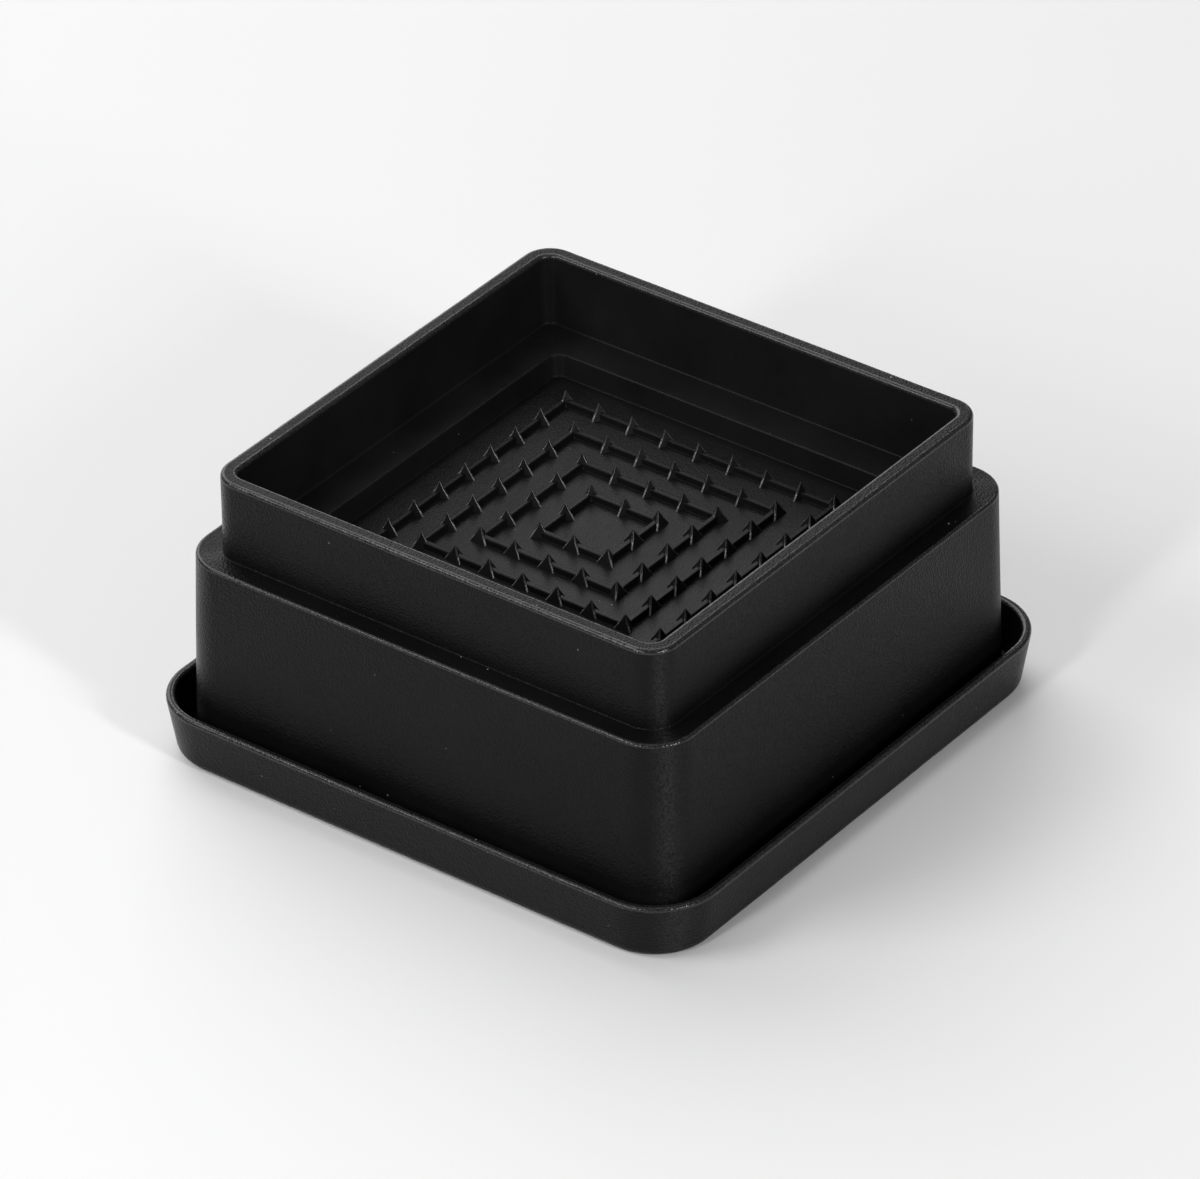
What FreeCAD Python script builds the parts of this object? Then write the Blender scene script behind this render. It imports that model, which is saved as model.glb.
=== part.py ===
import FreeCAD, Part
import math
import os
import Sketcher

# Stackable furniture riser moulded in one piece: an open collar for the furniture leg on
# top, a gripping floor inside it, a drafted skirt and an upturned lip round the foot.
# Origin at the middle of the foot, z up, millimetres.

doc = FreeCAD.newDocument("bed_riser")
sheet = doc.addObject("Spreadsheet::Sheet", "sizes")

sizes = {
    # overall
    "total_height": 47.0,
    # collar that holds the leg
    "collar_width": 80.0,
    "collar_corner": 4.6,
    "collar_wall": 2.5,
    "collar_height": 13.2,
    "rim_round": 0.6,
    # leg cavity
    "cavity_draft": 2.0,
    "ledge_depth": 11.7,
    "ledge_width": 6.2,
    "ledge_corner": 2.0,
    "floor_step": 3.5,
    "step_draft": 8.0,
    # skirt below the shoulder
    "shoulder_step": 3.5,
    "shoulder_corner": 7.0,
    "skirt_draft": 1.7,
    "skirt_wall": 2.5,
    "deck_thickness": 2.6,
    # foot with its upturned lip
    "gutter_width": 1.2,
    "foot_corner": 9.0,
    "foot_round": 1.8,
    "foot_plate": 2.0,
    "lip_height": 9.6,
    "lip_flare": 9.5,
    "lip_wall": 1.4,
    "lip_round": 0.5,
    # gripping floor
    "grip_pitch": 6.1,
    "grip_rib_width": 1.0,
    "grip_rib_height": 1.0,
    "grip_rib_corner": 0.7,
    "spike_side": 2.9,
    "spike_height": 2.6,
    "spike_tip": 0.14,
    # stiffening ribs inside the skirt
    "rib_thickness": 2.0,
    "rib_spacing": 28.0,
    "rib_recess": 0.6,
}

# Levels and widths that follow from the sizes. The shoulder stands out from the collar, the
# skirt widens by its draft, and the foot reaches past it by the gutter and the lip.
derived = {
    "shoulder_level": "=total_height - collar_height",
    "ledge_level": "=total_height - ledge_depth",
    "floor_level": "=ledge_level - floor_step",
    "deck_level": "=floor_level - deck_thickness",
    "mouth_width": "=collar_width - 2 * collar_wall",
    "well_width": "=mouth_width - 2 * ledge_width - 2 * ledge_depth * tan(cavity_draft * 1 deg)",
    "shoulder_width": "=collar_width + 2 * shoulder_step",
    "skirt_spread": "=shoulder_level * tan(skirt_draft * 1 deg)",
    "lip_spread": "=lip_height * tan(lip_flare * 1 deg)",
    "foot_width": "=shoulder_width + 2 * (gutter_width + lip_wall"
                  " + (shoulder_level - foot_plate) * tan(skirt_draft * 1 deg)"
                  " - foot_plate * tan(lip_flare * 1 deg))",
}
for row, (alias, value) in enumerate({**sizes, **derived}.items(), start=1):
    sheet.set(f"A{row}", alias)
    sheet.set(f"B{row}", str(value))
    sheet.setAlias(f"B{row}", alias)
doc.recompute()

body = doc.addObject("PartDesign::Body", "Moulding")
body.Label = "moulding_without_spikes"
origin = {item.Role: item for item in body.Origin.OriginFeatures}


def roundedSquare(name, width, corner, level):
    """Sketch of a square with rounded corners, centred on the axis at the given level."""
    sketch = body.newObject("Sketcher::SketchObject", name)
    sketch.AttachmentSupport = (origin["XY_Plane"], [""])
    sketch.MapMode = "FlatFace"
    sketch.setExpression("AttachmentOffset.Base.z", level)
    half = 40.0
    bend = 5.0
    flat = half - bend
    ends = [(-flat, -half), (flat, -half), (half, -flat), (half, flat),
            (flat, half), (-flat, half), (-half, flat), (-half, -flat)]
    points = [FreeCAD.Vector(x, y, 0) for x, y in ends]
    for side in range(4):
        sketch.addGeometry(Part.LineSegment(points[2 * side], points[2 * side + 1]), False)
        centre = FreeCAD.Vector(flat if side in (0, 1) else -flat, flat if side in (1, 2) else -flat, 0)
        circle = Part.Circle(centre, FreeCAD.Vector(0, 0, 1), bend)
        start = math.radians(-90 + 90 * side)
        sketch.addGeometry(Part.ArcOfCircle(circle, start, start + math.pi / 2), False)
    for side in range(4):
        line = 2 * side
        arc = 2 * side + 1
        following = (2 * side + 2) % 8
        sketch.addConstraint(Sketcher.Constraint("Tangent", line, 2, arc, 1))
        sketch.addConstraint(Sketcher.Constraint("Tangent", arc, 2, following, 1))
    for side in (0, 4):
        sketch.addConstraint(Sketcher.Constraint("Horizontal", side))
    for side in (2, 6):
        sketch.addConstraint(Sketcher.Constraint("Vertical", side))
    for arc in (3, 5, 7):
        sketch.addConstraint(Sketcher.Constraint("Equal", 1, arc))
    sketch.addConstraint(Sketcher.Constraint("Equal", 0, 2))
    sketch.addConstraint(Sketcher.Constraint("Symmetric", 0, 1, 4, 1, -1, 1))
    spread = sketch.addConstraint(Sketcher.Constraint("DistanceY", 0, 2, 4, 1, 2 * half))
    sketch.renameConstraint(spread, "width")
    sketch.setExpression("Constraints.width", width)
    radius = sketch.addConstraint(Sketcher.Constraint("Radius", 1, bend))
    sketch.renameConstraint(radius, "corner")
    sketch.setExpression("Constraints.corner", corner)
    doc.recompute()
    return sketch


def rectangle(name, length, width, level):
    """Sketch of a bar centred on the axis at the given level, long in y."""
    sketch = body.newObject("Sketcher::SketchObject", name)
    sketch.AttachmentSupport = (origin["XY_Plane"], [""])
    sketch.MapMode = "FlatFace"
    sketch.setExpression("AttachmentOffset.Base.z", level)
    corners = [FreeCAD.Vector(x, y, 0) for x, y in ((-1, -40), (1, -40), (1, 40), (-1, 40))]
    for side in range(4):
        sketch.addGeometry(Part.LineSegment(corners[side], corners[(side + 1) % 4]), False)
    for side in range(4):
        sketch.addConstraint(Sketcher.Constraint("Coincident", side, 2, (side + 1) % 4, 1))
    for side in (0, 2):
        sketch.addConstraint(Sketcher.Constraint("Horizontal", side))
    for side in (1, 3):
        sketch.addConstraint(Sketcher.Constraint("Vertical", side))
    sketch.addConstraint(Sketcher.Constraint("Symmetric", 0, 1, 2, 1, -1, 1))
    across = sketch.addConstraint(Sketcher.Constraint("DistanceX", 0, 1, 0, 2, 2))
    sketch.renameConstraint(across, "across")
    sketch.setExpression("Constraints.across", width)
    along = sketch.addConstraint(Sketcher.Constraint("DistanceY", 1, 1, 1, 2, 80))
    sketch.renameConstraint(along, "along")
    sketch.setExpression("Constraints.along", length)
    doc.recompute()
    return sketch


def build_up(name, sketch, length, taper=None):
    """Adds the sketched shape upwards; a positive taper widens it with height."""
    pad = body.newObject("PartDesign::Pad", name)
    pad.Profile = sketch
    pad.setExpression("Length", length)
    if taper:
        pad.setExpression("TaperAngle", taper)
    doc.recompute()
    body.Tip = pad
    return pad


def hollow(name, sketch, depth, taper=None, upwards=False):
    """Cuts the sketched shape away, downwards unless told otherwise."""
    before = body.Shape.Volume
    pocket = body.newObject("PartDesign::Pocket", name)
    pocket.Profile = sketch
    pocket.Reversed = upwards
    pocket.setExpression("Length", depth)
    if taper:
        pocket.setExpression("TaperAngle", taper)
    doc.recompute()
    body.Tip = pocket
    if pocket.Shape.Volume > before - 1.0:
        raise RuntimeError(f"{name} removes nothing")
    return pocket


# Foot: a square plate whose lip turns up all round and flares outwards, with an open
# gutter between the lip and the skirt.
foot = roundedSquare("FootSketch", "sizes.foot_width", "sizes.foot_corner", "0 mm")
build_up("Foot", foot, "sizes.lip_height", "sizes.lip_flare")
gutter = roundedSquare(
    "GutterSketch",
    "sizes.foot_width + 2 * sizes.lip_spread - 2 * sizes.lip_wall",
    "sizes.foot_corner + sizes.lip_spread - sizes.lip_wall",
    "sizes.lip_height")
hollow("Gutter", gutter, "sizes.lip_height - sizes.foot_plate", "-sizes.lip_flare")

# Skirt: drafted, widest at the foot, closed by the deck at the shoulder.
skirt = roundedSquare("SkirtSketch", "sizes.shoulder_width + 2 * sizes.skirt_spread",
                      "sizes.shoulder_corner + sizes.skirt_spread", "0 mm")
build_up("Skirt", skirt, "sizes.shoulder_level", "-sizes.skirt_draft")

# Collar that keeps the furniture leg in place.
collar = roundedSquare("CollarSketch", "sizes.collar_width", "sizes.collar_corner", "sizes.shoulder_level")
build_up("Collar", collar, "sizes.collar_height")

# Cavity for the leg: drafted walls down to a ledge, then a short step to the gripping floor.
mouth = roundedSquare("MouthSketch", "sizes.mouth_width", "sizes.collar_corner - sizes.collar_wall",
                      "sizes.total_height")
hollow("Mouth", mouth, "sizes.ledge_depth", "-sizes.cavity_draft")
well = roundedSquare("WellSketch", "sizes.well_width", "sizes.ledge_corner", "sizes.ledge_level")
hollow("Well", well, "sizes.floor_step", "-sizes.step_draft")

# Underside: hollowed to an even wall under the deck, draft as on the skirt.
inside = roundedSquare("InsideSketch", "sizes.shoulder_width + 2 * sizes.skirt_spread - 2 * sizes.skirt_wall",
                       "sizes.shoulder_corner + sizes.skirt_spread - sizes.skirt_wall", "0 mm")
hollow("Inside", inside, "sizes.deck_level", "-sizes.skirt_draft", upwards=True)


def size(alias):
    """Present value of one size."""
    return float(sheet.get(alias))


def loop(level, half):
    """Names of the edges that run round the axis at a level, flat sides at half width."""
    names = []
    for number, edge in enumerate(body.Shape.Edges, start=1):
        points = [vertex.Point for vertex in edge.Vertexes]
        flat = all(abs(point.z - level) < 0.01 for point in points)
        around = all(abs(max(abs(point.x), abs(point.y)) - half) < 0.02 for point in points)
        if flat and around:
            names.append(f"Edge{number}")
    return names


def round_off(name, radius, *loops):
    """Rounds whole loops of edges, given as level and half width."""
    edges = []
    for level, half in loops:
        found = loop(level, half)
        if len(found) != 8:
            raise RuntimeError(f"{name} finds {len(found)} edges at {level}, {half}")
        edges += found
    previous = body.Tip
    fillet = body.newObject("PartDesign::Fillet", name)
    fillet.Base = (previous, edges)
    fillet.setExpression("Radius", radius)
    doc.recompute()
    body.Tip = fillet
    return fillet


height = size("total_height")
lipOuter = size("foot_width") / 2 + size("lip_spread")
collarOuter = size("collar_width") / 2

# Soft edges of the moulding.
round_off("FootRound", "sizes.foot_round", (0.0, size("foot_width") / 2))
round_off("LipRound", "sizes.lip_round",
          (size("lip_height"), lipOuter), (size("lip_height"), lipOuter - size("lip_wall")))
round_off("RimRound", "sizes.rim_round", (height, collarOuter), (height, collarOuter - size("collar_wall")))

# Stiffening ribs: two each way, from just above the ground up into the deck.
rib = rectangle("RibSketch", "sizes.shoulder_width - sizes.skirt_wall", "sizes.rib_thickness", "sizes.rib_recess")
rib.setExpression("AttachmentOffset.Base.x", "sizes.rib_spacing / 2")
ribPad = build_up("Rib", rib, "sizes.deck_level + sizes.deck_thickness / 2 - sizes.rib_recess")


def patterned(name, feature, steps):
    """Repeats a feature: along a line, then round the axis."""
    multi = body.newObject("PartDesign::MultiTransform", name)
    multi.Originals = [feature]
    moves = []
    for kind, settings, expressions in steps:
        move = doc.addObject(f"PartDesign::{kind}", f"{name}{kind}")
        body.addObject(move)
        for key, value in settings.items():
            setattr(move, key, value)
        for key, value in expressions.items():
            move.setExpression(key, value)
        moves.append(move)
    multi.Transformations = moves
    body.Tip = multi
    doc.recompute()
    return multi


zAxis = (origin["Z_Axis"], [""])
quarterTurns = ("PolarPattern", {"Axis": zAxis, "Angle": 360.0, "Occurrences": 4}, {})
patterned("Ribs", ribPad, [quarterTurns])

# Gripping floor: square ribs one inside the other, each with a row of spikes along it.
for ring in (4, 3, 2, 1):
    outer = roundedSquare(f"GripRib{ring}Sketch", f"2 * {ring} * sizes.grip_pitch + sizes.grip_rib_width",
                          "sizes.grip_rib_corner + sizes.grip_rib_width / 2", "sizes.floor_level")
    build_up(f"GripRib{ring}", outer, "sizes.grip_rib_height")
    inner = roundedSquare(f"GripRib{ring}InnerSketch", f"2 * {ring} * sizes.grip_pitch - sizes.grip_rib_width",
                          "sizes.grip_rib_corner - sizes.grip_rib_width / 2",
                          "sizes.floor_level + sizes.grip_rib_height")
    hollow(f"GripRib{ring}Inner", inner, "sizes.grip_rib_height")


def spike_solid():
    """Three-sided spike on the origin, one corner of its base towards -y, with a small flat tip."""
    bottom = []
    top = []
    for corner in range(3):
        turn = math.radians(120 * corner)
        outwards = FreeCAD.Vector(math.sin(turn), -math.cos(turn), 0)
        bottom.append(outwards * (size("spike_side") / math.sqrt(3)))
        top.append(outwards * size("spike_tip") + FreeCAD.Vector(0, 0, size("spike_height")))
    outlines = [bottom[::-1], top]
    for corner in range(3):
        following = (corner + 1) % 3
        outlines.append([bottom[corner], bottom[following], top[following], top[corner]])
    faces = [Part.Face(Part.makePolygon(outline + outline[:1])) for outline in outlines]
    return Part.Solid(Part.Shell(faces))


# Spikes stand astride the grip ribs, a row along each side of each ring, pointing inwards.
spikes = []
for ring in range(1, 5):
    # The second ring starts its rows one place on, so its corners face the other way.
    first = 1 - ring if ring == 2 else -ring
    for side in range(4):
        for place in range(2 * ring):
            spike = spike_solid()
            spike.translate(FreeCAD.Vector((first + place) * size("grip_pitch"), ring * size("grip_pitch"), 0))
            spike.rotate(FreeCAD.Vector(), FreeCAD.Vector(0, 0, 1), 90 * side)
            spikes.append(spike)
grip = doc.addObject("Part::Feature", "GripSpikes")
grip.Shape = Part.makeCompound(spikes)
grip.setExpression("Placement.Base.z", "sizes.floor_level")

riser = doc.addObject("Part::Fuse", "riser_body")
riser.Base = body
riser.Tool = grip
riser.Label = "riser_body"
doc.recompute()

for item in doc.Objects:
    if "Invalid" in item.State or "Error" in item.State:
        raise RuntimeError(f"{item.Name} is {item.State}")
if riser.Shape.isNull() or not riser.Shape.isValid() or len(riser.Shape.Solids) != 1:
    raise RuntimeError("the moulding is not one sound solid")
print("riser", riser.Shape.BoundBox, "volume", round(riser.Shape.Volume, 1), "faces", len(riser.Shape.Faces))

os.makedirs("parts", exist_ok=True)
riser.Shape.exportStep("parts/riser_body.step")
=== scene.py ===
import math

import bpy
import numpy as np
from mathutils import Matrix, Vector


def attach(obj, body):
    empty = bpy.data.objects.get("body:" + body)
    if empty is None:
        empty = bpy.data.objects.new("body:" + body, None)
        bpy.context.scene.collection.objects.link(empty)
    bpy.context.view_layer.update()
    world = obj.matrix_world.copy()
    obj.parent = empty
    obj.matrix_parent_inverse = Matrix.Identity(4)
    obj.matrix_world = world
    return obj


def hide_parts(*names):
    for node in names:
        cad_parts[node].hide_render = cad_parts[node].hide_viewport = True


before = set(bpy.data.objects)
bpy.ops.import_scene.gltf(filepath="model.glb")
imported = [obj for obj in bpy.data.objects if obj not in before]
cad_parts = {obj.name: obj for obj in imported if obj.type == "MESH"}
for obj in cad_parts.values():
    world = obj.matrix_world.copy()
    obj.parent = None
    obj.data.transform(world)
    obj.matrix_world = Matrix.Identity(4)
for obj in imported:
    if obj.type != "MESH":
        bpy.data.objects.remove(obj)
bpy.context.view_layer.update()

mm = 0.001
print("frame loaded")


# Makes one shader node, with its settings and its inputs: a socket is linked, anything else is set.
def addNode(tree, kind, inputs=None, **settings):
    made = tree.nodes.new("ShaderNode" + kind)
    for key, value in settings.items():
        setattr(made, key, value)
    for key, value in (inputs or {}).items():
        if isinstance(value, bpy.types.NodeSocket):
            tree.links.new(value, made.inputs[key])
        else:
            made.inputs[key].default_value = value
    return made


def emptyMaterial(name):
    material = bpy.data.materials.new(name)
    material.use_nodes = True
    material.node_tree.nodes.clear()
    return material, material.node_tree


def mathNode(tree, operation, first, second=0.5, third=0.5, clamp=False):
    made = addNode(tree, "Math", {0: first, 1: second, 2: third}, operation=operation)
    made.use_clamp = clamp
    return made.outputs[0]


# Straight-line change of a value from one range to another, held inside the second.
def rangeNode(tree, value, fromLow, fromHigh, toLow, toHigh):
    inputs = {"Value": value, "From Min": fromLow, "From Max": fromHigh, "To Min": toLow, "To Max": toHigh}
    return addNode(tree, "MapRange", inputs).outputs["Result"]


plasticFinish = {
    "colour": (0.0056, 0.0056, 0.0059, 1.0),
    "cavityPaintedLight": 1.7,            # painted light: the smooth cavity walls get a greyer colour than the grained outside, for the light that reaches them
    "cloudScale": 55.0,           # slow clouds in tint and gloss
    "cloudTint": (0.75, 1.35),
    "ior": 1.46,
    "specularLevel": 0.11,
    "roughCavity": 0.36,
    "roughOutside": 0.33,
    "roughSpread": 0.07,
    "roughRubbed": -0.08,
    # paler colour of worn edges, partly a painted sheen, also used for the painted highlight strips
    "wearAndSheenColour": (0.034, 0.034, 0.035, 1.0),
    "scuffAndGlintScale": 3000.0,         # breaks the worn edges and painted highlights up into grains
    "scuffAndGlintRange": (0.36, 0.70),
    "grainSize": 0.32 * mm,       # one pit of the spark-eroded texture
    "grainSoftness": 0.6,
    "grainDepth": 0.09 * mm,
    "grainCavity": 0.22,          # share of the grain's strength on the smooth cavity walls
    "fineGrain": 1.7,             # finer grain on the pits: how many times finer, and its share
    "fineShare": 0.45,
    "drawLineSpacing": 0.9 * mm,  # faint lines drawn on the walls as the moulding left the tool
    "drawLineStretch": 0.035,
    "drawLineCavity": 0.35,
    "drawLineOutside": 0.10,
    "speckSpacing": 2.6 * mm,
    "speckRadius": 0.062,         # in speck spacings
    "speckSmallest": 0.4,         # in speck radii
    "speckShare": 0.25,
    "dustColour": (0.34, 0.33, 0.31, 1.0),
    "dustCover": (0.5, 0.85),     # on what faces down or sideways, and on what faces up
    "dustRough": 0.4,
}

# edges that hands and feet reach are rubbed glossy; their paler colour is wear and partly a painted sheen
edgeFinish = {**plasticFinish, "specularLevel": 0.45, "roughOutside": 0.30, "grainDepth": 0.045 * mm}

# the spikes' ridges, cut straight into the steel of the tool, are glossy, and painted pale as a painted highlight
ridgeHighlightFinish = {**plasticFinish, "wearAndSheenColour": (0.45, 0.45, 0.45, 1.0), "specularLevel": 1.0,
               "roughCavity": 0.42, "roughSpread": 0.02, "grainCavity": 0.0}


# Near-black moulded plastic: a fine pitted grain outside, smoother walls with faint draw lines inside, the cavity
# walls coloured lighter as painted light, cloudy gloss, edges worn a little lighter with a painted sheen, painted
# highlights up the corners and on the spike ridges, and specks of dust, most of them on what faces up.
def blackPlastic(name, finish):
    material, tree = emptyMaterial(name)
    place = addNode(tree, "TexCoord").outputs["Object"]
    outside = addNode(tree, "Attribute", attribute_name="outside").outputs["Fac"]
    # wear-and-sheen mark: worn edges with a painted sheen, and painted highlights up the corners and on the spike
    # ridges
    wearAndSheen = addNode(tree, "Attribute", attribute_name="wearAndSheen").outputs["Fac"]
    upward = addNode(tree, "Attribute", attribute_name="upward").outputs["Fac"]

    # grain and draw lines
    pits = addNode(tree, "TexVoronoi", {"Vector": place, "Scale": 1 / finish["grainSize"]}, feature="SMOOTH_F1")
    pits.inputs["Smoothness"].default_value = finish["grainSoftness"]
    fine = addNode(tree, "TexNoise", {"Vector": place, "Scale": finish["fineGrain"] / finish["grainSize"],
                                      "Detail": 3.0})
    grain = mathNode(tree, "MULTIPLY_ADD", fine.outputs["Fac"], finish["fineShare"], pits.outputs["Distance"])
    grainShare = rangeNode(tree, outside, 0.0, 1.0, finish["grainCavity"], 1.0)
    drawn = addNode(tree, "Mapping", {"Vector": place, "Scale": (1.0, 1.0, finish["drawLineStretch"])})
    lines = addNode(tree, "TexNoise", {"Vector": drawn.outputs["Vector"], "Scale": 1 / finish["drawLineSpacing"],
                                       "Detail": 4.0, "Roughness": 0.6})
    lineShare = rangeNode(tree, outside, 0.0, 1.0, finish["drawLineCavity"], finish["drawLineOutside"])
    linesBump = addNode(tree, "Bump", {"Height": lines.outputs["Fac"], "Distance": finish["grainDepth"],
                                       "Strength": lineShare})
    grainBump = addNode(tree, "Bump", {"Height": grain, "Distance": finish["grainDepth"], "Strength": grainShare,
                                       "Normal": linesBump.outputs["Normal"]})

    # gloss
    cloud = addNode(tree, "TexNoise", {"Vector": place, "Scale": finish["cloudScale"], "Detail": 5.0,
                                       "Roughness": 0.62})
    roughBase = rangeNode(tree, outside, 0.0, 1.0, finish["roughCavity"], finish["roughOutside"])
    roughCloud = rangeNode(tree, cloud.outputs["Fac"], 0.3, 0.7, -finish["roughSpread"], finish["roughSpread"])
    rough = mathNode(tree, "ADD", roughBase, roughCloud)
    rough = mathNode(tree, "MULTIPLY_ADD", wearAndSheen, finish["roughRubbed"], rough)

    # colour, paler under the wear-and-sheen mark: worn edges partly painted with a sheen, and painted highlights
    # up the corners and along the spike ridges
    tint = rangeNode(tree, cloud.outputs["Fac"], 0.3, 0.7, *finish["cloudTint"])
    # painted light: the cavity walls, where outside is lowest, get a lighter colour
    cavityPaintedLightTint = rangeNode(tree, outside, 0.0, 0.3, finish["cavityPaintedLight"], 1.0)
    plain = addNode(tree, "VectorMath", {0: finish["colour"][:3]}, operation="SCALE")
    tree.links.new(mathNode(tree, "MULTIPLY", tint, cavityPaintedLightTint), plain.inputs["Scale"])
    scuffAndGlintNoise = addNode(tree, "TexNoise", {"Vector": place, "Scale": finish["scuffAndGlintScale"], "Detail": 3.0,
                                        "Roughness": 0.7})
    scuffAndGlintShare = rangeNode(tree, scuffAndGlintNoise.outputs["Fac"], *finish["scuffAndGlintRange"], 0.0, 1.0)
    wearAndSheenShare = mathNode(tree, "MULTIPLY", wearAndSheen, scuffAndGlintShare)
    wearAndSheenMix = addNode(tree, "Mix", {"Factor": wearAndSheenShare}, data_type="RGBA")
    tree.links.new(plain.outputs["Vector"], wearAndSheenMix.inputs[6])
    wearAndSheenMix.inputs[7].default_value = finish["wearAndSheenColour"]

    # dust: a round speck in some of the cells, each of its own size
    cells = addNode(tree, "TexVoronoi", {"Vector": place, "Scale": 1 / finish["speckSpacing"]})
    pick = addNode(tree, "SeparateColor", {"Color": cells.outputs["Color"]})
    chosen = mathNode(tree, "LESS_THAN", pick.outputs["Red"], finish["speckShare"])
    smallest = finish["speckSmallest"] * finish["speckRadius"]
    size = rangeNode(tree, pick.outputs["Green"], 0.0, 1.0, smallest, finish["speckRadius"])
    nearness = mathNode(tree, "LESS_THAN", cells.outputs["Distance"], size)
    speck = mathNode(tree, "MULTIPLY", chosen, nearness)
    dustShare = rangeNode(tree, upward, 0.0, 1.0, *finish["dustCover"])
    dust = mathNode(tree, "MULTIPLY", speck, dustShare)
    dusty = addNode(tree, "Mix", {"Factor": dust}, data_type="RGBA")
    tree.links.new(wearAndSheenMix.outputs[2], dusty.inputs[6])
    dusty.inputs[7].default_value = finish["dustColour"]

    roughDusty = mathNode(tree, "MULTIPLY_ADD", dust, finish["dustRough"], rough, clamp=True)
    shader = addNode(tree, "BsdfPrincipled", {"Base Color": dusty.outputs[2], "Roughness": roughDusty,
                                              "IOR": finish["ior"], "Specular IOR Level": finish["specularLevel"],
                                              "Normal": grainBump.outputs["Normal"]})
    output = addNode(tree, "OutputMaterial")
    tree.links.new(shader.outputs["BSDF"], output.inputs["Surface"])
    return material


# Rounds a profile. Each row holds half width, height, corner centre, round and outside share. Every inner
# point becomes an arc tangent to its two runs: the arc's middle lies on the bisector, radius over sine of
# half the angle away. Runs are divided evenly, with one point close to each arc to keep the flats flat.
# A fifth column comes back: 1 on arcs that stand out on the outside, where the plastic is worn and painted with a
# sheen.
def softenProfile(rows, r):
    flat = rows[:, :3]
    cells = []
    runStart = flat[0]
    for here in range(1, len(rows)):
        last = here == len(rows) - 1
        runEnd = flat[here]
        arc = None
        if not last:
            back, ahead = flat[here - 1] - flat[here], flat[here + 1] - flat[here]
            backLength, aheadLength = np.hypot(*back[:2]), np.hypot(*ahead[:2])
            toBack, toAhead = back[:2] / backLength, ahead[:2] / aheadLength
            angle = math.acos(float(np.clip(toBack @ toAhead, -1, 1)))
            radius = rows[here, 3]
            reach = radius / math.tan(angle / 2)
            bisector = (toBack + toAhead) / np.linalg.norm(toBack + toAhead)
            middle = flat[here, :2] + bisector * radius / math.sin(angle / 2)
            runEnd = flat[here] + back * reach / backLength
            nextStart = flat[here] + ahead * reach / aheadLength
            sweep = math.pi - angle
            share = np.linspace(0, 1, r["arcSteps"] + 1)[:, None]
            spokes = (np.sin((1 - share) * sweep) * (runEnd[:2] - middle)
                      + np.sin(share * sweep) * (nextStart[:2] - middle)) / math.sin(sweep)
            centres = runEnd[2] + share * (nextStart[2] - runEnd[2])
            turn = toBack[0] * toAhead[1] - toBack[1] * toAhead[0]  # above zero where the edge stands out
            # edges standing out on the outside are marked worn, with a painted sheen
            wornSheenEdge = turn > 0 and rows[here, 4] > r["wornSheenFrom"]
            edge = np.full((r["arcSteps"] + 1, 1), 1.0 if wornSheenEdge else 0.0)
            zone = rows[here - 1, 4] + share * (rows[here, 4] - rows[here - 1, 4])
            arc = np.hstack([middle + spokes, centres, zone, edge])
        length = np.hypot(*(runEnd - runStart)[:2])
        steps = max(1, math.ceil(length / r["runSpacing"]))
        share = np.linspace(0, 1, steps + 1)
        margin = min(r["flatMargin"] / length, 0.3 / steps)
        share = np.unique(np.concatenate([share, [margin, 1 - margin]]))
        share = share[:, None] if last or here == 1 else share[1:, None]
        share = share if last else share[:-1]
        run = runStart + share * (runEnd - runStart)
        cells.append(np.hstack([run, np.full((len(run), 1), rows[here - 1, 4]), np.zeros((len(run), 1))]))
        if arc is not None:
            cells.append(arc)
            runStart = nextStart
    return np.vstack(cells)


# Turn about the upright axis, by as many right angles as the side's number.
def turnToSide(side):
    turn = math.radians(90 * side)
    return np.array([[math.cos(turn), -math.sin(turn), 0], [math.sin(turn), math.cos(turn), 0], [0, 0, 1]])


# Directions round a rounded square, anticlockwise from the front side: how far each point's corner
# centre goes in x and y, and which way the point lies from it.
def roundSquare(sideSteps, cornerSteps):
    along = np.linspace(-1, 1, sideSteps + 1)[:-1]
    bend = np.radians(np.linspace(-90, 0, cornerSteps + 1)[:-1])
    centre = np.vstack([np.column_stack([along, np.full(sideSteps, -1.0)]),
                        np.tile([1.0, -1.0], (cornerSteps, 1))])
    spoke = np.vstack([np.tile([0.0, -1.0], (sideSteps, 1)),
                       np.column_stack([np.cos(bend), np.sin(bend)])])
    turns = [turnToSide(side)[:2, :2] for side in range(4)]
    return np.vstack([centre @ t.T for t in turns]), np.vstack([spoke @ t.T for t in turns])


# Closed grid of quads: rows follow each other, columns run round, and a point closes each end.
def closedGrid(rowCount, columnCount):
    index = np.arange(rowCount * columnCount).reshape(rowCount, columnCount)
    right = np.roll(index, -1, axis=1)
    quads = np.stack([index[:-1], index[1:], right[1:], right[:-1]], axis=-1).reshape(-1, 4)
    first, last = rowCount * columnCount, rowCount * columnCount + 1
    startFan = np.column_stack([np.full(columnCount, first), index[0], right[0]])
    endFan = np.column_stack([index[-1], np.full(columnCount, last), right[-1]])
    return quads.tolist() + startFan.tolist() + endFan.tolist()


# Makes a piece of the riser from points in millimetres, with its marks for the materials: a value for
# each point. The finish index picks a face's material, and smooth says which faces are shaded smooth.
def buildPiece(name, points, faces, marks, materials, finishIndex=None, smooth=None):
    mesh = bpy.data.meshes.new(name)
    mesh.from_pydata((points * mm).tolist(), [], faces)
    smooth = np.ones(len(faces), dtype=bool) if smooth is None else smooth
    mesh.polygons.foreach_set("use_smooth", smooth)
    for mark, values in marks.items():
        mesh.attributes.new(mark, "FLOAT", "POINT").data.foreach_set("value", values.astype(np.float32))
    for material in materials:
        mesh.materials.append(material)
    if finishIndex is not None:
        mesh.polygons.foreach_set("material_index", finishIndex.astype(np.int32))
    mesh.update()
    piece = bpy.data.objects.new(name, mesh)
    bpy.context.scene.collection.objects.link(piece)
    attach(piece, "root")
    print(name, "made with", len(points), "points")
    return piece


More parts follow.
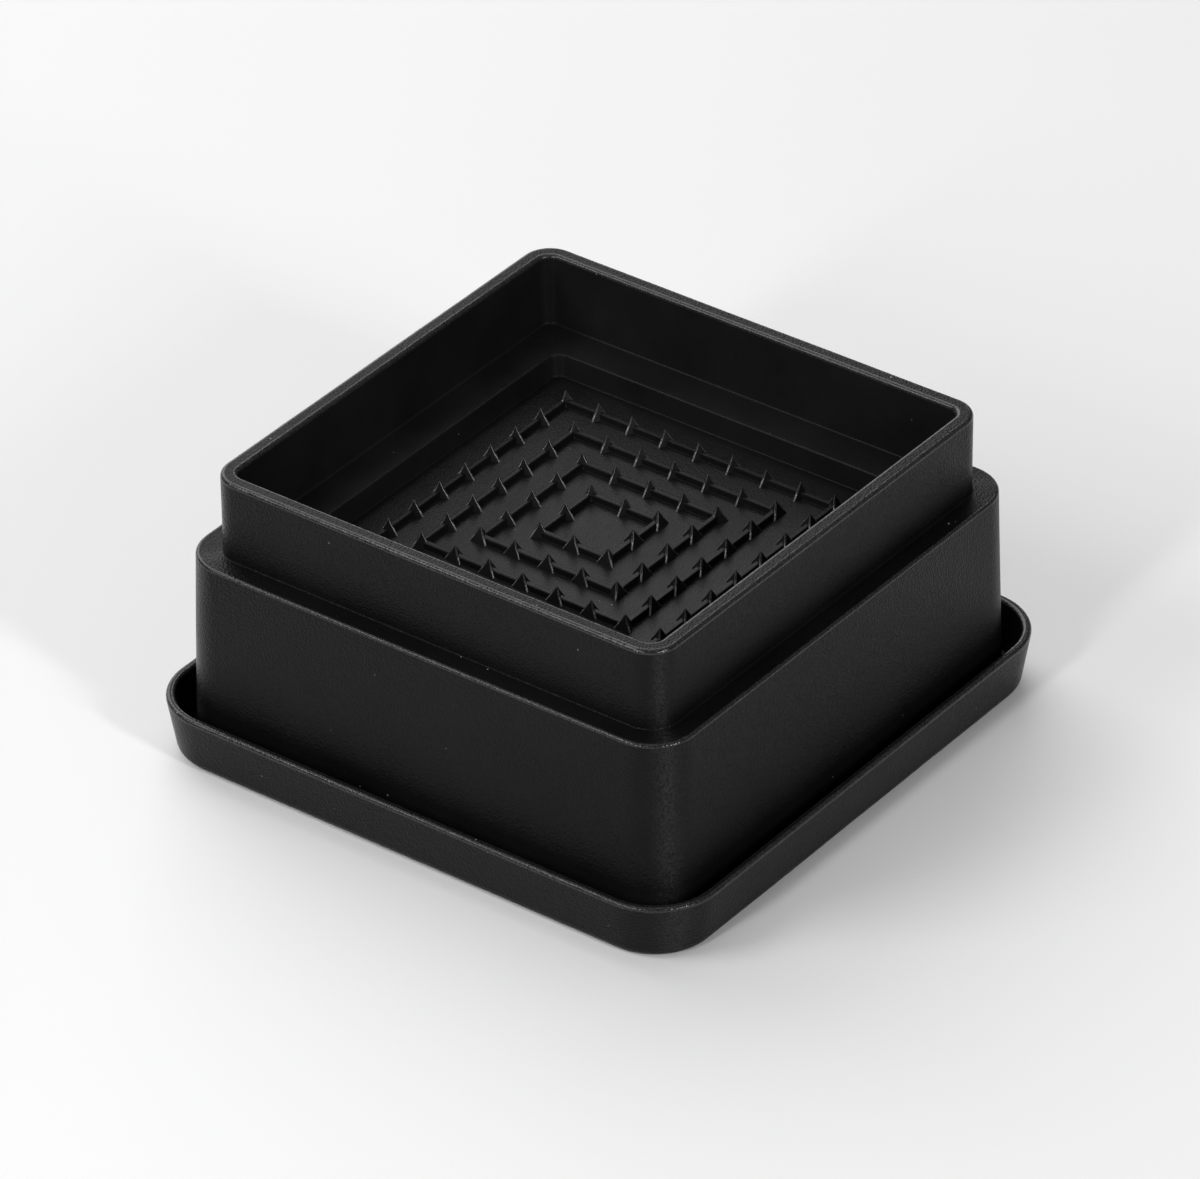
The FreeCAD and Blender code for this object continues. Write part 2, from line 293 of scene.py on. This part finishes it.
riser = {
    "height": 47.0,
    "collarHalf": 40.0, "collarCorner": 4.6, "collarWall": 2.5, "collarHeight": 13.2, "rimRound": 0.6,
    "collarFootRound": 0.22,
    "cavityDraft": 2.0, "wallFootRound": 0.3,
    "ledgeDepth": 11.7, "ledgeWidth": 6.2, "ledgeCorner": 2.0, "ledgeRound": 0.25,
    "floorStep": 3.5, "stepDraft": 8.0, "stepFootRound": 0.2,
    "shoulderHalf": 43.5, "shoulderCorner": 7.0, "shoulderRound": 0.45, "skirtDraft": 1.7, "skirtWall": 2.5,
    "skirtFootRound": 0.3, "deckThickness": 2.6, "deckRound": 0.8,
    "footHalf": 46.709, "footCorner": 9.0, "footRound": 1.8, "footPlate": 2.0, "gutterRound": 0.45,
    "lipHeight": 9.6, "lipFlare": 9.5, "lipWall": 1.4, "lipRound": 0.55,
    "gripPitch": 6.1, "gripRings": 4, "gripHalfWidth": 0.5, "gripHeight": 1.0, "gripCorner": 0.7,
    "gripFootSpread": 0.08, "gripTopDraw": 0.07, "gripFootRound": 0.08, "gripTopRound": 0.2,
    "middleHalf": 0.6,    # smallest loop of the section, closed by a point
    "runSpacing": 1.6, "arcSteps": 6, "sideSteps": 30, "cornerSteps": 16,
    "flatMargin": 0.12,   # how far from an arc the run's next point stands
    "waviness": 0.035,
    "wornSheenFrom": 0.7,   # outside share from which an edge is worn, with a painted sheen
    "cornerHighlight": 1.0, "cornerHighlightAt": 53.0, "cornerHighlightWidth": 14.0,  # painted highlight strip up each outer corner, degrees
}


def slope(degrees):
    return math.tan(math.radians(degrees))


def floorLevelOf(r):
    return r["height"] - r["ledgeDepth"] - r["floorStep"]


# Half width, height, corner centre, round and outside share of the moulding's section, from the middle
# of the gripping floor out over the ribs, up the cavity, over the rim, down outside and back below.
def riserProfile(r):
    floorLevel = floorLevelOf(r)
    ledgeLevel = r["height"] - r["ledgeDepth"]
    shoulder = r["height"] - r["collarHeight"]
    rows = [(r["middleHalf"], floorLevel, r["middleHalf"] / 2, 0, 0.25)]
    for ring in range(1, r["gripRings"] + 1):
        middle, wide = ring * r["gripPitch"], r["gripHalfWidth"]
        centre = middle - r["gripCorner"]
        foot, top = r["gripFootSpread"], r["gripTopDraw"]
        rows += [(middle - wide - foot, floorLevel, centre, r["gripFootRound"], 0.25),
                 (middle - wide + top, floorLevel + r["gripHeight"], centre, r["gripTopRound"], 0.25),
                 (middle + wide - top, floorLevel + r["gripHeight"], centre, r["gripTopRound"], 0.25),
                 (middle + wide + foot, floorLevel, centre, r["gripFootRound"], 0.25)]
    collarCentre = r["collarHalf"] - r["collarCorner"]
    mouth = r["collarHalf"] - r["collarWall"]
    wallFoot = mouth - r["ledgeDepth"] * slope(r["cavityDraft"])
    well = wallFoot - r["ledgeWidth"]
    wellCentre = well - r["ledgeCorner"]
    rows += [(well - r["floorStep"] * slope(r["stepDraft"]), floorLevel, wellCentre, r["stepFootRound"], 0.0),
             (well, ledgeLevel, wellCentre, r["ledgeRound"], 0.0),
             (wallFoot, ledgeLevel, collarCentre, r["wallFootRound"], 0.0),
             (mouth, r["height"], collarCentre, r["rimRound"], 0.8),
             (r["collarHalf"], r["height"], collarCentre, r["rimRound"], 1.0),
             (r["collarHalf"], shoulder, collarCentre, r["collarFootRound"], 1.0)]
    shoulderCentre = r["shoulderHalf"] - r["shoulderCorner"]
    gutterLevel = r["footPlate"]
    skirtFoot = r["shoulderHalf"] + (shoulder - gutterLevel) * slope(r["skirtDraft"])
    footCentre = r["footHalf"] - r["footCorner"]
    lipOuter = r["footHalf"] + r["lipHeight"] * slope(r["lipFlare"])
    lipInner = lipOuter - r["lipWall"]
    gutterHalf = lipInner - (r["lipHeight"] - gutterLevel) * slope(r["lipFlare"])
    rows += [(r["shoulderHalf"], shoulder, shoulderCentre, r["shoulderRound"], 1.0),
             (skirtFoot, gutterLevel, shoulderCentre, r["gutterRound"], 0.7),
             (gutterHalf, gutterLevel, footCentre, r["gutterRound"], 0.7),
             (lipInner, r["lipHeight"], footCentre, r["lipRound"], 1.0),
             (lipOuter, r["lipHeight"], footCentre, r["lipRound"], 1.0),
             (r["footHalf"], 0.0, footCentre, r["footRound"], 0.5)]
    insideHalf = r["shoulderHalf"] + shoulder * slope(r["skirtDraft"]) - r["skirtWall"]
    deckLevel = floorLevel - r["deckThickness"]
    deckHalf = insideHalf - deckLevel * slope(r["skirtDraft"])
    rows += [(insideHalf, 0.0, shoulderCentre, r["skirtFootRound"], 0.3),
             (deckHalf, deckLevel, shoulderCentre, r["deckRound"], 0.3),
             (r["middleHalf"], deckLevel, r["middleHalf"] / 2, 0, 0.3)]
    return np.array(rows)


# Slow unevenness of the walls: the mean of four sine waves of the place. Each row holds a wave's
# direction, in radians per millimetre, and its start.
def mouldWaves(points):
    waves = np.array([(0.13, 0.05, 0.09, 0.4), (-0.07, 0.16, 0.05, 1.9),
                      (0.21, -0.11, 0.14, 3.1), (0.04, 0.24, -0.2, 5.0)])
    return np.sin(points @ waves[:, :3].T + waves[:, 3]).mean(axis=1)


# The moulding's shell: the section carried round rounded squares. A point is its corner centre times the
# loop's centre direction plus the corner radius times the loop's spoke. Each point then moves along its
# normal by the waves times the waviness.
def makeMoulding(r, materials):
    section = softenProfile(riserProfile(r), r)
    half, level, centre, zone, edge = section.T
    centreWay, spokeWay = roundSquare(r["sideSteps"], r["cornerSteps"])
    columns = len(spokeWay)
    radius = half - centre
    x = np.outer(centre, centreWay[:, 0]) + np.outer(radius, spokeWay[:, 0])
    y = np.outer(centre, centreWay[:, 1]) + np.outer(radius, spokeWay[:, 1])
    z = np.repeat(level[:, None], columns, axis=1)
    along = np.gradient(section[:, :2], axis=0)
    along /= np.linalg.norm(along, axis=1)[:, None]
    normal = np.stack([np.outer(-along[:, 1], spokeWay[:, 0]), np.outer(-along[:, 1], spokeWay[:, 1]),
                       np.repeat(along[:, :1], columns, axis=1)], axis=-1).reshape(-1, 3)
    points = np.stack([x, y, z], axis=-1).reshape(-1, 3)
    points += normal * (mouldWaves(points) * r["waviness"])[:, None]
    points[:, 2] = np.maximum(points[:, 2], 0.0)
    ends = [(0.0, 0.0, level[0]), (0.0, 0.0, level[-1])]

    # painted highlight: a pale strip up each outer corner, set where a glint falls on it
    bearing = np.degrees(np.arctan2(spokeWay[:, 1], spokeWay[:, 0])) % 90
    cornerHighlight = r["cornerHighlight"] * np.exp(-((bearing - r["cornerHighlightAt"]) / r["cornerHighlightWidth"]) ** 2)
    # worn edges with a painted sheen, joined with the corners' painted highlight strips
    wearAndSheen = np.maximum(edge[:, None], np.outer(zone >= 1.0, cornerHighlight))
    marks = {"outside": np.concatenate([np.repeat(zone, columns), [zone[0], zone[-1]]]),
             "wearAndSheen": np.concatenate([wearAndSheen.ravel(), [0.0, 0.0]]),
             "upward": np.concatenate([np.clip(normal[:, 2], 0, 1), [1.0, 0.0]])}
    faces = closedGrid(len(section), columns)
    onEdge = np.repeat(edge[:-1] * edge[1:], columns)
    finishIndex = np.concatenate([onEdge, np.zeros(2 * columns)])
    piece = buildPiece("riserMoulding", np.vstack([points, ends]), faces, marks, materials, finishIndex)
    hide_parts("riser_body")
    return piece


spikes = {
    "side": 3.3, "height": 2.5, "tip": 0.10, "sunk": 0.15,
    "levels": [0.0, 0.55, 0.94, 1.0],              # shares of the height
    "rounds": [0.21, 0.21, 0.18, 0.08, 0.03],      # edge rounds, from below the floor to the tip
    "fan": [-60.0, -20.0, 20.0, 60.0],             # degrees of the points round each edge
    "ridgeHighlightLevels": [0.0, 0.6, 1.0, 1.0, 1.0],          # painted highlight: how pale the ridges are, from below the floor up
    "upward": 0.3,
    "shiftedRing": 2,  # this ring starts its rows one place on
}


# One spike: rounded triangles that shrink with height, one corner towards -y. A point is its triangle's
# corner, drawn in by the round, plus the round times its direction. Returns points, faces, which faces
# are on a ridge, and how much painted highlight each point carries.
def spikeShape(s):
    reach = s["side"] / math.sqrt(3)
    # a straight taper from just over the full reach, under the floor, to a blunt tip
    heights = np.array([-s["sunk"]] + [share * s["height"] for share in s["levels"]])
    corners = np.array([reach * 1.02, reach, reach * 0.47, s["tip"] + 0.05, s["tip"] * 0.45])
    rounds = np.array(s["rounds"])
    middles = np.radians([-90.0, 30.0, 150.0])
    fan = np.radians(s["fan"])
    centreWay = np.repeat(np.column_stack([np.cos(middles), np.sin(middles)]), len(fan), axis=0)
    angles = (middles[:, None] + fan[None, :]).ravel()
    spokeWay = np.column_stack([np.cos(angles), np.sin(angles)])
    flat = (corners - 2 * rounds)[:, None, None] * centreWay + rounds[:, None, None] * spokeWay
    lift = np.repeat(heights[:, None, None], len(angles), axis=1)
    points = np.concatenate([flat, lift], axis=2).reshape(-1, 3)
    points = np.vstack([points, [0, 0, heights[-1] + 0.02], [0, 0, heights[0]]])
    # the grid runs upwards, so its faces are turned over to point outwards
    faces = [face[::-1] for face in closedGrid(len(heights), len(angles))]
    column = np.arange(len(angles)) % len(fan)
    onRidge = np.concatenate([np.tile(column < len(fan) - 1, len(heights) - 1),
                              np.zeros(2 * len(angles), dtype=bool)])
    # painted highlight: the middle columns of each ridge are painted pale
    ridgeHighlight = np.outer(s["ridgeHighlightLevels"], (column > 0) & (column < len(fan) - 1)).ravel()
    return points, faces, onRidge, np.concatenate([ridgeHighlight, [1.0, 0.0]])


# Spikes astride the ribs, a row along each side of each ring, each pointing inwards.
def makeSpikes(s, r, materials):
    points, faces, onRidge, ridgeHighlight = spikeShape(s)
    count = len(points)
    allPoints, allFaces = [], []
    for ring in range(1, r["gripRings"] + 1):
        first = 1 - ring if ring == s["shiftedRing"] else -ring
        for side in range(4):
            rotate = turnToSide(side)
            for place in range(2 * ring):
                base = np.array([(first + place) * r["gripPitch"], ring * r["gripPitch"], 0.0])
                allFaces += [[corner + count * len(allPoints) for corner in face] for face in faces]
                allPoints.append((points + base) @ rotate.T)
    repeats = len(allPoints)
    allPoints = np.vstack(allPoints)
    allPoints[:, 2] += floorLevelOf(r)
    marks = {"outside": np.zeros(len(allPoints)), "wearAndSheen": np.tile(ridgeHighlight, repeats),
             "upward": np.full(len(allPoints), s["upward"])}
    onRidge = np.tile(onRidge, repeats)
    return buildPiece("gripSpikes", allPoints, allFaces, marks, materials, finishIndex=onRidge, smooth=onRidge)


ribs = {"thickness": 2.0, "spacing": 28.0, "recess": 0.6, "draft": 0.35, "edgeRound": 0.5, "edgeSteps": 4,
        "ends": 41.6, "stations": 25, "overlap": 0.4, "outside": 0.3}


# Stiffening ribs under the deck: a section with rounded lower edges, wider at the deck, drawn straight
# from skirt to skirt; two each way. The rounds are quarter circles by sine and cosine.
def makeRibs(s, r, material):
    deck = floorLevelOf(r) - r["deckThickness"] + s["overlap"]
    low, wide = s["recess"], s["thickness"] / 2
    top = wide + (deck - low) * slope(s["draft"])
    bend = np.radians(np.linspace(0, 90, s["edgeSteps"] + 1))
    right = np.column_stack([wide - s["edgeRound"] * (1 - np.sin(bend)),
                             low + s["edgeRound"] * (1 - np.cos(bend))])
    outline = np.vstack([right, [(top, deck), (-top, deck)], (right * [-1, 1])[::-1]])
    stations = np.linspace(-s["ends"], s["ends"], s["stations"])
    # rows run along y, the outline goes round in x and z
    x = np.repeat(outline[None, :, 0], len(stations), axis=0)
    z = np.repeat(outline[None, :, 1], len(stations), axis=0)
    y = np.repeat(stations[:, None], len(outline), axis=1)
    bar = np.stack([x, y, z], axis=-1).reshape(-1, 3)
    middle = (low + deck) / 2
    bar = np.vstack([bar, [0, stations[0], middle], [0, stations[-1], middle]])
    faces = closedGrid(len(stations), len(outline))
    allPoints, allFaces = [], []
    for side in range(4):
        allFaces += [[corner + side * len(bar) for corner in face] for face in faces]
        allPoints.append((bar + [s["spacing"] / 2, 0, 0]) @ turnToSide(side).T)
    allPoints = np.vstack(allPoints)
    flat = np.zeros(len(allPoints))
    marks = {"outside": flat + s["outside"], "wearAndSheen": flat, "upward": flat}
    return buildPiece("undersideRibs", allPoints, allFaces, marks, [material])


plastic = blackPlastic("mouldedBlackPlastic", plasticFinish)
makeMoulding(riser, [plastic, blackPlastic("edgeWearAndSheenPlastic", edgeFinish)])
makeSpikes(spikes, riser, [plastic, blackPlastic("glossyRidgeHighlightPlastic", ridgeHighlightFinish)])
makeRibs(ribs, riser, plastic)


stageSetting = {"floorWidth": 8.0, "floorColour": (0.92, 0.92, 0.92, 1.0), "floorMottle": (0.985, 1.0),
                "sky": 0.14}


# Pale floor, flat and matt, under the object.
def makeFloor(s):
    material, tree = emptyMaterial("paleFloor")
    place = addNode(tree, "TexCoord").outputs["Object"]
    mottle = addNode(tree, "TexNoise", {"Vector": place, "Scale": 3.0, "Detail": 2.0})
    shade = rangeNode(tree, mottle.outputs["Fac"], 0.3, 0.7, *s["floorMottle"])
    tint = addNode(tree, "VectorMath", {0: s["floorColour"][:3]}, operation="SCALE")
    tree.links.new(shade, tint.inputs["Scale"])
    shader = addNode(tree, "BsdfDiffuse", {"Color": tint.outputs["Vector"]})
    output = addNode(tree, "OutputMaterial")
    tree.links.new(shader.outputs["BSDF"], output.inputs["Surface"])
    half = s["floorWidth"] / 2
    mesh = bpy.data.meshes.new("studioFloor")
    corners = [(-half, -half, 0), (half, -half, 0), (half, half, 0), (-half, half, 0)]
    mesh.from_pydata(corners, [], [(0, 1, 2, 3)])
    mesh.materials.append(material)
    floor = bpy.data.objects.new("studioFloor", mesh)
    bpy.context.scene.collection.objects.link(floor)


# World: an even soft grey, as light and as what reflections meet.
def makeWorld(s):
    world = bpy.data.worlds.new("studioWorld")
    bpy.context.scene.world = world
    world.use_nodes = True
    tree = world.node_tree
    tree.nodes.clear()
    background = addNode(tree, "Background", {"Color": (1.0, 1.0, 1.0, 1.0), "Strength": s["sky"]})
    output = addNode(tree, "OutputWorld")
    tree.links.new(background.outputs["Background"], output.inputs["Surface"])


# Direction from the object towards a lamp or the camera: azimuth 0 is in front, 90 on the right.
def wayTo(azimuth, elevation):
    a, e = math.radians(azimuth), math.radians(elevation)
    return Vector((math.sin(a) * math.cos(e), -math.cos(a) * math.cos(e), math.sin(e)))


lamps = {
    # name: azimuth and elevation of the lamp seen from the object, distance, width, height, watts
    "backSoftbox": (238.0, 38.0, 1.2, 1.2, 1.2, 10.0),
    "topSoftbox": (200.0, 80.0, 1.1, 0.6, 0.6, 1.2),
    "leftSoftbox": (-37.0, 42.0, 1.1, 0.45, 0.45, 3.6),
    "frontStrip": (2.0, 28.0, 1.0, 0.10, 0.30, 2.6),
    "rightStrip": (76.0, 25.5, 1.0, 0.10, 0.34, 3.4),
}
lampTarget = Vector((0.0, 0.0, 0.02))


# Flat rectangular lamps that look at the target.
def makeLamps(settings, target):
    for name, (azimuth, elevation, distance, width, height, watts) in settings.items():
        away = wayTo(azimuth, elevation)
        light = bpy.data.lights.new(name, "AREA")
        light.shape = "RECTANGLE"
        light.size, light.size_y = width, height
        light.energy = watts
        lamp = bpy.data.objects.new(name, light)
        lamp.location = target + away * distance
        lamp.rotation_mode = "QUATERNION"
        lamp.rotation_quaternion = (-away).to_track_quat("-Z", "Y")
        bpy.context.scene.collection.objects.link(lamp)


cameraSetting = {"azimuth": 37.0, "elevation": 33.5, "roll": -0.6, "distance": 1.25, "lens": 258.0,
                 "aim": (0.0, 0.0, 0.0215), "clip": (0.05, 30.0)}


# Camera at the photograph's viewing angle, rolled a little as it is there.
def makeCamera(s):
    away = wayTo(s["azimuth"], s["elevation"])
    data = bpy.data.cameras.new("studioCamera")
    data.lens = s["lens"]
    data.sensor_width = 36.0
    data.clip_start, data.clip_end = s["clip"]
    camera = bpy.data.objects.new("studioCamera", data)
    roll = Matrix.Rotation(math.radians(s["roll"]), 4, "Z")
    turn = (-away).to_track_quat("-Z", "Y").to_matrix().to_4x4() @ roll
    camera.matrix_world = Matrix.Translation(Vector(s["aim"]) + away * s["distance"]) @ turn
    bpy.context.scene.collection.objects.link(camera)
    bpy.context.scene.camera = camera


makeFloor(stageSetting)
makeWorld(stageSetting)
makeLamps(lamps, lampTarget)
makeCamera(cameraSetting)
bpy.context.scene.view_settings.view_transform = "Standard"
print("stage, lamps and camera made")
